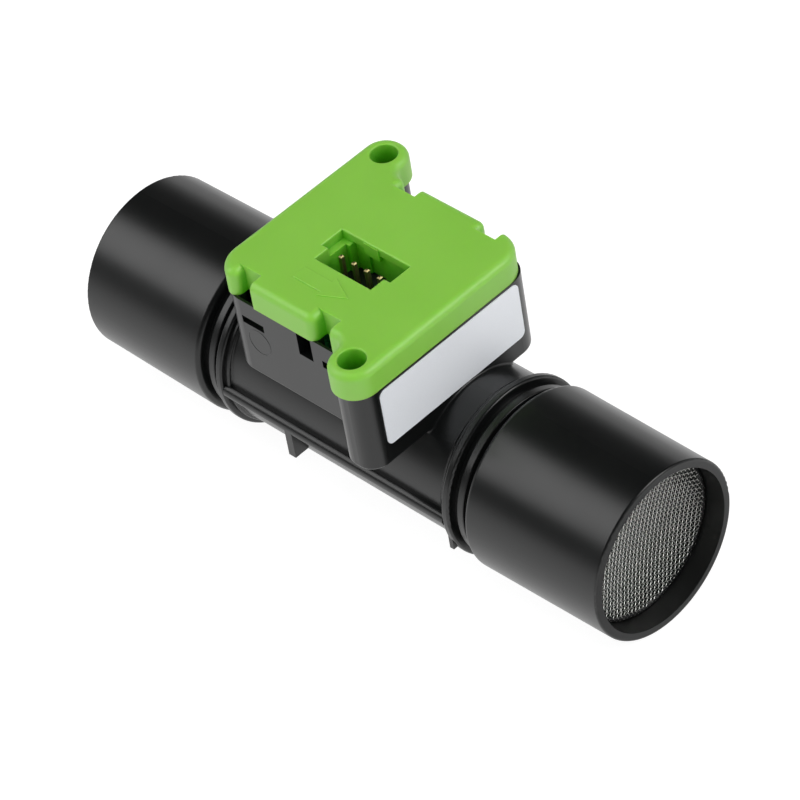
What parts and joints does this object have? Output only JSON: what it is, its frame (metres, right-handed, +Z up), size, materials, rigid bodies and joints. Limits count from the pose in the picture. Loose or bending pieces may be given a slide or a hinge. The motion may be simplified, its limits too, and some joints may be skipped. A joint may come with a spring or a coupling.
{
  "type": "gas flow meter",
  "caption": "In-line gas flow meter: black tube with tapered ports and wire screens, sensor head with a green cover, screw ears and a pin socket.",
  "frame": {"origin": "centre of the inlet port's end face", "axes": "+X along the tube the way the gas flows, +Z up out of the cover, +Y to the left of the flow"},
  "size_m": [0.081, 0.0322, 0.0332],
  "materials": {
    "body_plastic": "satin moulded black",
    "cover_plastic": "satin moulded green",
    "wire_mesh": "woven stainless wire",
    "label_film": "satin silver film",
    "contact_gold": "gold plated",
    "header_plastic": "matt black",
    "restrictor_plastic": "natural grey",
    "block_plastic": "matt black",
    "seal_rubber": "black rubber",
    "die_silicon": "polished silicon",
    "board_laminate": "green solder mask",
    "chip_resin": "moulded resin",
    "capacitor_ceramic": "fired ceramic",
    "resistor_ceramic": "glazed ceramic"
  },
  "bodies": {
    "root": {"flow_body": "body_plastic", "inlet_screen": "wire_mesh", "outlet_screen": "wire_mesh", "flow_restrictor": "restrictor_plastic", "tap_seal_1": "seal_rubber", "tap_seal_2": "seal_rubber", "sensor_block": "block_plastic", "sensor_die": "die_silicon", "circuit_board": "board_laminate", "connector_base": "header_plastic", "contact_pin_1": "contact_gold", "contact_pin_2": "contact_gold", "contact_pin_3": "contact_gold", "contact_pin_4": "contact_gold", "controller_chip": "chip_resin", "regulator_chip": "chip_resin", "capacitor_1": "capacitor_ceramic", "capacitor_2": "capacitor_ceramic", "capacitor_3": "capacitor_ceramic", "capacitor_4": "capacitor_ceramic", "resistor_1": "resistor_ceramic", "resistor_2": "resistor_ceramic", "resistor_3": "resistor_ceramic", "resistor_4": "resistor_ceramic", "cover": "cover_plastic", "label": "label_film"}
  },
  "joints": []
}
